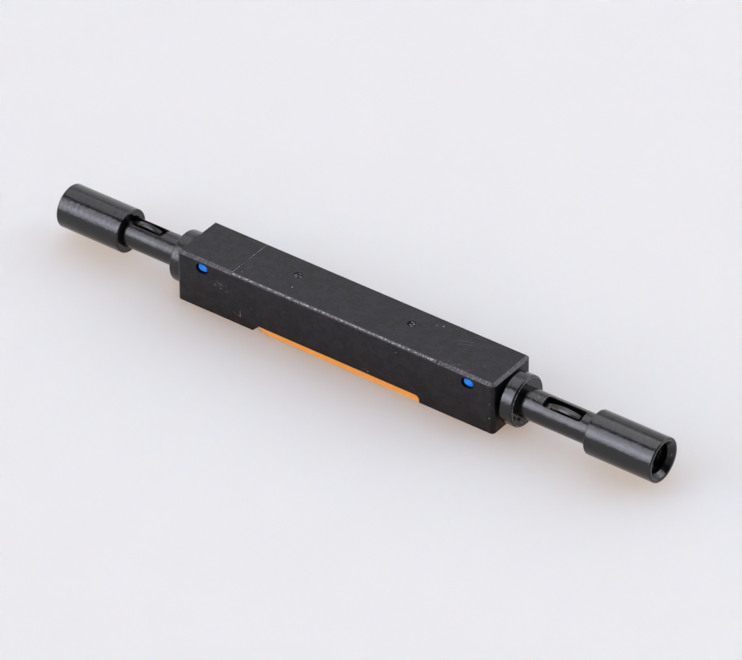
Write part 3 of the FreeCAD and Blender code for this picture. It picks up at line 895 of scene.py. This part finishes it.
@dataclass
class HousingShell:
    """The black housing with flash on its long edge, a joint line and torn gates on its top.

    The gate's lumps and roughness are each a base and the random share that is added to it.
    """

    body: str = "splice_body"
    slot: str = "housing"
    sizes: HousingSizes = HousingSizes()
    flash_height: float = 0.045
    flash_half_width: float = 0.07
    flash_margin: float = 0.1
    flash_taper: float = 0.3
    flash_least: float = 0.05
    flash_wander: float = 0.014
    flash_wander_width: int = 14
    flash_wander_seed: int = 5
    flash_steps: int = 1100
    flash_row: RaggedRow = RaggedRow(fine_width=3, broad_width=20, fine_share=0.6, gain=1.9,
                                     drop=0.5, least=0.05, seed=3)
    joint_height: float = 0.02
    joint_half_width: float = 0.03
    joint_steps: int = 260
    joint_row: RaggedRow = RaggedRow(fine_width=3, broad_width=18, fine_share=0.5, gain=2.2,
                                     drop=0.4, least=0.05, seed=31)
    gate_x: float = 4.53
    gate_y: float = 0.35
    gate_depth: float = 0.05
    gate_radius: float = 0.29
    gate_turns: int = 72
    gate_rings: int = 15
    gate_ring: float = 0.72
    gate_ring_width: float = 0.18
    gate_centre: float = 0.03
    gate_dip: float = 0.02
    gate_lump_width: int = 3
    gate_lump: Span = (0.25, 0.75)
    gate_calm: float = 0.3
    gate_draws: int = 3
    gate_rough: Span = (0.6, 0.4)
    gate_wander_width: int = 5
    gate_wander: float = 0.4
    gate_seeds: tuple[int, int] = (21, 22)
    gate_clear: float = 0.004
    gate_lift: float = 0.002
    gate_sunk: float = 0.02

    def build(self, frame: dict, material: Material, torn: Material, gate: Material) -> None:
        """Dress the CAD housing and add its mould marks.

        Args:
            frame: The loaded frame.
            material: The housing's material.
            torn: The material of the flash and the joint line.
            gate: The material of the torn gates, whose pale flecks are painted glints.
        """
        dress(frame["nodes"]["housing"], material)
        pieces = [(self.build_flash(), torn), (self.build_joint(), torn)]
        pieces += [(self.build_gate("gate_mark_" + side.name.lower(), side.value * self.gate_x,
                                    seed), gate) for side, seed in zip(Side, self.gate_seeds)]
        for piece, finish in pieces:
            dress(piece, finish)
            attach(piece, self.body)

    def build_flash(self) -> Piece:
        """Build the ragged flash on the front long edge.

        A low ridge is carried along X on the chamfer. Its height and its shift across the chamfer
        are smooth random rows, and its ends taper off.

        Returns:
            The ridge.
        """
        reach = self.sizes.middle_half - self.flash_margin
        x = np.linspace(-reach, reach, self.flash_steps)
        taper = np.clip((reach - np.abs(x)) / self.flash_taper, self.flash_least, 1)
        height = self.flash_height * self.flash_row.heights(x.size) * taper
        wander = smooth_random(x.size, self.flash_wander_width, self.flash_wander_seed)
        shift = self.flash_wander * (wander - 0.5)
        slope = math.sqrt(0.5)
        side = np.array([0.0, -slope, -slope])
        out = np.array([0.0, -slope, slope])
        inset = self.sizes.long_chamfer / 2
        middle = np.array([0.0, inset - self.sizes.half_width, self.sizes.top - inset])
        path = middle + x[:, None] * np.array([1.0, 0.0, 0.0]) + shift[:, None] * side
        return ridge_mesh("edge_flash", path, side, out, self.flash_half_width, height)

    def build_joint(self) -> Piece:
        """Build the joint line of the mould, a broken bead along Y that fills its groove.

        Its height is a smooth random row, and its foot lies on the floor of the groove.

        Returns:
            The bead.
        """
        reach = self.sizes.half_width - self.sizes.long_chamfer
        y = np.linspace(-reach, reach, self.joint_steps)
        height = self.joint_height * self.joint_row.heights(y.size)
        level = np.full_like(y, self.sizes.top - self.joint_height)
        path = np.stack([np.full_like(y, -self.sizes.middle_half), y, level], axis=-1)
        side, out = np.array([1.0, 0.0, 0.0]), np.array([0.0, 0.0, 1.0])
        return ridge_mesh("joint_line", path, side, out, self.joint_half_width, height)

    def build_gate(self, name: str, x: float, seed: int) -> Piece:
        """Build what is left of a torn gate in its recess.

        The height over the recess is a bell-shaped ring about the centre, times lumps that are a
        smooth random row round the ring, times a roughness that sums a few neighbouring random
        draws. The rim goes just under the recess, and the bottom is flat.

        Args:
            name: The piece's name.
            x: The gate's place along the housing.
            seed: The seed of its random rows.

        Returns:
            The gate mark.
        """
        turns = self.gate_turns
        angle = np.linspace(0, 2 * np.pi, turns, endpoint=False)
        fade = np.sin(angle / 2) ** 2
        lumps = smooth_random(turns, self.gate_lump_width, seed)
        lumps = self.gate_lump[0] + self.gate_lump[1] * lumps * fade + self.gate_calm * (1 - fade)
        wander = smooth_random(turns, self.gate_wander_width, seed + 10) - 0.5
        wander = 1 + self.gate_wander * wander * fade
        share = np.linspace(self.gate_centre, 1, self.gate_rings)
        ring = np.exp(-((share - self.gate_ring) / self.gate_ring_width) ** 2)
        ring = ring - np.exp(-((1 - self.gate_ring) / self.gate_ring_width) ** 2)
        rough = np.random.default_rng(seed + 20).random((share.size, turns))
        rough = sum(np.roll(rough, step, axis=1) for step in range(self.gate_draws))
        rough = self.gate_rough[0] + self.gate_rough[1] * rough / (self.gate_draws / 2)
        rise = np.clip(ring, -self.gate_dip, 1)[:, None] * lumps[None, :] * rough * self.gate_depth
        rise = np.minimum(rise, self.gate_depth - self.gate_clear)
        spread = self.gate_radius * share[:, None] * wander[None, :]
        spread = np.concatenate([spread, spread[-1:], spread[:1]])
        bottom = np.full((2, turns), -self.gate_sunk)
        level = np.concatenate([rise + self.gate_lift, bottom]) + self.sizes.top - self.gate_depth
        points = np.stack([x + spread * np.cos(angle), self.gate_y + spread * np.sin(angle),
                           level], axis=-1)
        return ring_mesh(name, points * MM, False)


@dataclass
class FibreCore:
    """The blue core with its nubs and the plate that clamps the fibres."""

    nodes: tuple[str, ...] = ("v_groove_core", "clamp_plate")

    def build(self, frame: dict, material: Material) -> None:
        """Dress the core and the plate."""
        for name in self.nodes:
            dress(frame["nodes"][name], material)


@dataclass
class PressBar:
    """The orange bar under the housing and the steel spring on it."""

    bar: str = "press_bar"
    spring: str = "clamp_spring"

    def build(self, frame: dict, orange: Material, steel: Material) -> None:
        """Dress the bar and the spring."""
        dress(frame["nodes"][self.bar], orange)
        dress(frame["nodes"][self.spring], steel)


@dataclass
class TailEnd:
    """One tail tube on the housing and the lock sleeve that slides on it.

    The sleeve's start and the collar's face are measured from the end of the housing, and the
    sleeve's own lengths from its inner face.
    """

    side: Side
    sleeve_start: float
    sizes: HousingSizes = HousingSizes()
    axis_height: float = 1.93
    outer_radius: float = 1.54
    slide_radius: float = 1.08
    chamber_radius: float = 1.25
    lip_length: float = 1.2
    taper_start: float = 2.94
    shoulder: float = 3.69
    shoulder_radius: float = 1.0
    throat_radius: float = 0.55
    throat_length: float = 0.5
    bore_end: float = 4.73
    bore_radius: float = 1.0
    length: float = 5.11
    rim_radius: float = 1.3
    segments: int = 160
    arc_steps: int = 7
    collar_face: float = 0.9
    # The rim ridge's pale plastic paints a highlight line along the collar's rounded edge.
    rim_ridge_radius: float = 1.66
    rim_ridge_height: float = 0.03
    rim_ridge_half_width: float = 0.026
    rim_ridge_steps: int = 420
    rim_ridge_least: float = 0.25
    rim_ridge_width: int = 5
    rim_ridge_seed: int = 41
    flake_radius: float = 1.3
    flake_wander: float = 0.3
    flake_wander_width: int = 12
    flake_wander_seed: int = 52
    flake_height: float = 0.15
    flake_half_width: float = 0.065
    flake_arc: Span = (198.0, 250.0)
    flake_steps: int = 130
    flake_row: RaggedRow = RaggedRow(fine_width=4, broad_width=4, fine_share=1.0, gain=2.4,
                                     drop=0.8, least=0.02, seed=51)

    def build(self, frame: dict, tail: Material, sleeve: Material, torn: Material) -> None:
        """Dress the tube, add its collar's rim ridge and flakes and build the sleeve in place of
        its CAD node.

        Args:
            frame: The loaded frame.
            tail: The tube's material.
            sleeve: The sleeve's material.
            torn: The material of the rim ridge, where it paints a highlight line, and of the
                flakes.
        """
        word = self.side.name.lower()
        dress(frame["nodes"]["tail_tube_" + word], tail)
        piece = self.build_sleeve("funnel_sleeve_" + word)
        dress(piece, sleeve)
        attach(piece, word + "_sleeve_body")
        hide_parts("lock_sleeve_" + word)
        for collar_piece in (self.build_rim("collar_rim_" + word),
                     self.build_flakes("collar_flakes_" + word)):
            dress(collar_piece, torn)
            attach(collar_piece, "splice_body")

    def collar_ridge(self, name: str, turn: np.ndarray, radius: np.ndarray, half_width: float,
                     height: np.ndarray, closed: bool) -> Piece:
        """Build a ridge on the collar's outer face.

        A point of its path lies at its radius from the fibre, along the cosine and sine of its
        turn in Y and Z.

        Args:
            name: The piece's name.
            turn: The turn of each point about the fibre.
            radius: The radius of each point.
            half_width: Half the ridge's width.
            height: The ridge's height at each point.
            closed: Whether the ridge goes all the way round.

        Returns:
            The ridge.
        """
        sign = self.side.value
        spoke = np.stack([np.zeros_like(turn), np.cos(turn), np.sin(turn)], axis=-1)
        face = (self.sizes.half_length + self.collar_face) * sign
        path = np.array([face, 0.0, self.axis_height]) + spoke * radius[:, None]
        out = np.array([sign, 0.0, 0.0])
        return ridge_mesh(name, path, spoke, out, half_width, height, closed)

    def build_rim(self, name: str) -> Piece:
        """Build a low ridge round the collar just inside its rounded edge, in pale plastic that
        paints a highlight line.

        Its height is a smooth random row, with the seam of the row at the back.

        Args:
            name: The piece's name.

        Returns:
            The ridge.
        """
        turn = np.linspace(0, 2 * np.pi, self.rim_ridge_steps, endpoint=False)
        ragged = smooth_random(turn.size, self.rim_ridge_width, self.rim_ridge_seed)
        height = self.rim_ridge_height * (self.rim_ridge_least + (1 - self.rim_ridge_least) * ragged)
        radius = np.full_like(turn, self.rim_ridge_radius)
        return self.collar_ridge(name, turn, radius, self.rim_ridge_half_width, height, True)

    def build_flakes(self, name: str) -> Piece:
        """Build the flakes at the bottom front of the collar, a short ridge that wanders.

        Its height and radius are smooth random rows over an arc.

        Args:
            name: The piece's name.

        Returns:
            The ridge.
        """
        turn = np.radians(np.linspace(*self.flake_arc, self.flake_steps))
        height = self.flake_height * self.flake_row.heights(turn.size)
        wander = smooth_random(turn.size, self.flake_wander_width, self.flake_wander_seed)
        radius = self.flake_radius + self.flake_wander * (wander - 0.5)
        return self.collar_ridge(name, turn, radius, self.flake_half_width, height, False)

    def outline(self) -> np.ndarray:
        """Lay out the sleeve's outline, from its inner face out and back through its bore.

        Returns:
            An array of (along, radius, rounding), one row for each corner.
        """
        return np.array([
            (0.0, self.slide_radius, 0.05),
            (0.0, self.outer_radius, 0.1),
            (self.length, self.outer_radius, 0.09),
            (self.length, self.rim_radius, 0.2),
            (self.bore_end, self.bore_radius, 0.06),
            (self.shoulder + self.throat_length, self.bore_radius, 0.06),
            (self.shoulder + self.throat_length, self.throat_radius, 0.06),
            (self.shoulder, self.throat_radius, 0.04),
            (self.shoulder, self.shoulder_radius, 0.02),
            (self.taper_start, self.chamber_radius, 0.1),
            (self.lip_length, self.chamber_radius, 0.03),
            (self.lip_length, self.slide_radius, 0.03)])

    def build_sleeve(self, name: str) -> Piece:
        """Build the sleeve.

        The rounded outline turns about the fibre: X is the way along, Y and Z are the radius
        times the cosine and sine of the turn. On the left end X and Y change sign, which is half
        a turn about the upright.

        Args:
            name: The piece's name.

        Returns:
            The sleeve.
        """
        outline, normal = rounded_profile(self.outline(), self.arc_steps)
        turn = np.linspace(0, 2 * np.pi, self.segments, endpoint=False)
        sign = self.side.value
        across, upright = np.cos(turn) * sign, np.sin(turn)
        start = self.sizes.half_length + self.sleeve_start
        along = np.broadcast_to((start + outline[:, :1]) * sign, (outline.shape[0], turn.size))
        points = np.stack([along, outline[:, 1:] * across,
                           self.axis_height + outline[:, 1:] * upright], axis=-1)
        facing = np.broadcast_to(normal[:, :1] * sign, along.shape)
        normals = np.stack([facing, normal[:, 1:] * across, normal[:, 1:] * upright], axis=-1)
        return ring_mesh(name, points * MM, True, normals)


@dataclass
class PhotoCamera:
    """A long-lens camera at the photograph's angle, with the picture's size in pixels."""

    azimuth: float = 36.593
    elevation: float = 36.243
    roll: float = -0.398
    distance: float = 400.0
    shift_right: float = 1.152
    shift_up: float = -0.259
    aim_along: float = 0.125
    aim_height: float = 2.0
    focal_pixels: float = 6221.209
    picture_width: int = 742
    sensor: float = 36.0
    clip_start: float = 10.0

    def build(self) -> None:
        """Place the camera and make it the scene's own."""
        around, rise, roll = np.radians([self.azimuth, self.elevation, self.roll]).tolist()
        level = Vector((math.cos(around), math.sin(around), 0.0))
        ahead = Vector((math.sin(around), -math.cos(around), 0.0))
        back = ahead * math.cos(rise) + Vector((0.0, 0.0, math.sin(rise)))
        upright = back.cross(level)
        right = level * math.cos(roll) + upright * math.sin(roll)
        up = upright * math.cos(roll) - level * math.sin(roll)
        place = Vector((self.aim_along, 0.0, self.aim_height)) + back * self.distance
        place = (place + right * self.shift_right + up * self.shift_up) * MM
        lens = bpy.data.cameras.new("photo_camera")
        lens.sensor_width = self.sensor
        lens.lens = self.focal_pixels * self.sensor / self.picture_width
        lens.clip_start = self.clip_start * MM
        camera = bpy.data.objects.new("photo_camera", lens)
        columns = (right.to_4d(), up.to_4d(), back.to_4d(), place.to_4d())
        matrix = Matrix(columns).transposed()
        matrix[3] = (0.0, 0.0, 0.0, 1.0)
        camera.matrix_world = matrix
        bpy.context.scene.collection.objects.link(camera)
        bpy.context.scene.camera = camera
        LOG.info("camera at azimuth %.1f, elevation %.1f", self.azimuth, self.elevation)


@dataclass(frozen=True)
class SoftBox:
    """A flat studio lamp that faces the object, seen from it in one direction."""

    name: str
    direction: tuple[float, float, float]
    width: float
    height: float
    radiance: float
    colour: Colour = LAMP_WHITE
    distance: float = 1500.0

    def build(self) -> None:
        """Place the lamp; its power is its radiance times pi times its area."""
        lamp = bpy.data.lights.new(self.name, "AREA")
        lamp.shape = "RECTANGLE"
        lamp.size = self.width * MM
        lamp.size_y = self.height * MM
        lamp.color = self.colour
        lamp.energy = self.radiance * math.pi * lamp.size * lamp.size_y
        holder = bpy.data.objects.new(self.name, lamp)
        aim = Vector(self.direction).normalized()
        holder.location = aim * self.distance * MM
        holder.rotation_euler = aim.to_track_quat("Z", "Y").to_euler()
        holder.visible_camera = False
        bpy.context.scene.collection.objects.link(holder)
        LOG.info("lamp %s", self.name)


@dataclass(frozen=True)
class LightPanel:
    """A soft panel of light in the studio's sky, with limits along the fibre and around it.

    The limits along are the X part of a direction. The limits around are degrees from straight
    up, and rise to the front. The soft widths are those of the edges along and around.
    """

    name: str
    along: Span
    around: Span
    soft: Span
    radiance: float
    colour: Colour = LAMP_WHITE

    def light(self, graph: Graph, along: Value, around: Value) -> Socket:
        """Return the panel's light in a direction.

        Args:
            graph: The sky's graph.
            along: The X part of the direction.
            around: The direction's angle about the fibre, in degrees.

        Returns:
            The light as a colour.
        """
        mask = graph.product(self.window(graph, along, self.along, self.soft[0]),
                             self.window(graph, around, self.around, self.soft[1]))
        LOG.info("panel %s", self.name)
        return graph.vector_math("MULTIPLY", mask, [part * self.radiance for part in self.colour])

    @staticmethod
    def window(graph: Graph, value: Value, limits: Span, soft: float) -> Socket:
        """Return 1 between two limits and 0 outside them, with soft steps.

        Args:
            graph: The sky's graph.
            value: The value that is tested.
            limits: The lower and the upper limit.
            soft: Half the width of a step.

        Returns:
            The product of the two steps.
        """
        low, high = limits
        return graph.product(graph.ramp(value, low - soft, low + soft),
                             graph.ramp(value, high - soft, high + soft, 1.0, 0.0))


@dataclass
class Studio:
    """A pale floor in a dim room that is darkest at the front right, with panels and a soft box."""

    floor_half: float = 3000.0
    floor_lines: int = 9
    sky_dark: float = 0.05
    sky_light: float = 0.3
    sky_span: Span = (-0.8, 0.9)
    sky_colour: Colour = (1.06, 0.98, 0.96)
    panels: tuple[LightPanel, ...] = (
        LightPanel("ceiling", along=(-0.75, 0.1), around=(-36.0, 13.5), soft=(0.1, 2.5),
                   radiance=1.1),
        LightPanel("ceiling_middle", along=(-0.475, -0.02), around=(-36.0, 13.5),
                   soft=(0.03, 2.5), radiance=1.4),
        LightPanel("front", along=(-0.58, -0.31), around=(27.5, 87.0), soft=(0.06, 2.5),
                   radiance=4.2, colour=FRONT_WHITE),
        LightPanel("front_middle", along=(-0.58, -0.31), around=(54.0, 72.0), soft=(0.06, 15.0),
                   radiance=4.5, colour=FRONT_WHITE),
        LightPanel("back_left", along=(-1.1, -0.4), around=(-105.0, -42.0), soft=(0.12, 6.0),
                   radiance=0.84),
        LightPanel("back_middle", along=(-0.22, 0.3), around=(-80.0, -45.0), soft=(0.1, 8.0),
                   radiance=2.0),
        LightPanel("warm_left", along=(-0.97, -0.72), around=(25.0, 85.0), soft=(0.06, 8.0),
                   radiance=3.4, colour=(1.45, 1.0, 0.5)),
        LightPanel("front_right", along=(-0.15, 1.1), around=(38.0, 88.0), soft=(0.12, 8.0),
                   radiance=0.34),
    )
    right_box: SoftBox = SoftBox("right_softbox", direction=(0.591, 0.648, 0.481), width=900.0,
                                 height=900.0, radiance=3.3)

    def build(self, acrylic: Material) -> None:
        """Build the floor, the sky and the lamp.

        Args:
            acrylic: The floor's material.
        """
        self.build_floor(acrylic)
        self.build_sky()
        self.right_box.build()
        bpy.context.scene.view_settings.view_transform = "Standard"

    def build_floor(self, acrylic: Material) -> None:
        """Build the floor, a flat grid at height 0 that spans the same way in X and Y.

        Args:
            acrylic: The floor's material.
        """
        line = np.linspace(-self.floor_half, self.floor_half, self.floor_lines) * MM
        x, y = np.meshgrid(line, line)
        points = np.stack([x, y, np.zeros_like(x)], axis=-1).reshape(-1, 3)
        number = np.arange(line.size ** 2).reshape(line.size, line.size)
        quads = np.stack([number[:-1, :-1], number[:-1, 1:], number[1:, 1:], number[1:, :-1]],
                         axis=-1)
        mesh = bpy.data.meshes.new("floor")
        mesh.from_pydata(points.tolist(), [], quads.reshape(-1, 4).tolist())
        floor = bpy.data.objects.new("floor", mesh)
        bpy.context.scene.collection.objects.link(floor)
        dress(floor, acrylic)

    def build_sky(self) -> None:
        """Build the sky: a dim warm light that rises to the back left, plus the panels."""
        world = bpy.data.worlds.new("studio_sky")
        world.use_nodes = True
        graph = Graph(world.node_tree)
        direction = graph.add("ShaderNodeTexCoord", {}).outputs["Generated"]
        across, depth, height = graph.axes(direction)
        turn = graph.math("ARCTAN2", graph.math("MULTIPLY", depth, -1.0), height)
        around = graph.math("DEGREES", turn)
        dim = graph.ramp(graph.math("SUBTRACT", depth, across), *self.sky_span,
                         self.sky_dark, self.sky_light)
        light = graph.vector_math("MULTIPLY", dim, self.sky_colour)
        for panel in self.panels:
            light = graph.vector_math("ADD", light, panel.light(graph, across, around))
        graph.feed(world.node_tree.nodes["Background"].inputs["Color"], light)
        bpy.context.scene.world = world


def main() -> None:
    """Build the picture: camera, studio, then each sub-assembly on its frame."""
    logging.basicConfig(level=logging.INFO, format="%(name)s: %(message)s")
    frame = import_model()
    finishes = Finishes()
    effects = EffectLibrary()
    PhotoCamera().build()
    Studio().build(finishes.floor.material(effects))
    torn = finishes.torn.material(effects)
    HousingShell().build(frame, finishes.housing.material(effects), torn,
                         finishes.gate.material(effects))
    FibreCore().build(frame, finishes.core.material(effects))
    PressBar().build(frame, finishes.bar.material(effects), finishes.spring.material(effects))
    tail = finishes.tail.material(effects)
    sleeve = finishes.sleeve.material(effects)
    for end in (TailEnd(Side.LEFT, sleeve_start=5.36),
                TailEnd(Side.RIGHT, sleeve_start=6.51, collar_face=1.2)):
        end.build(frame, tail, sleeve, torn)


if __name__ == "__main__":
    main()
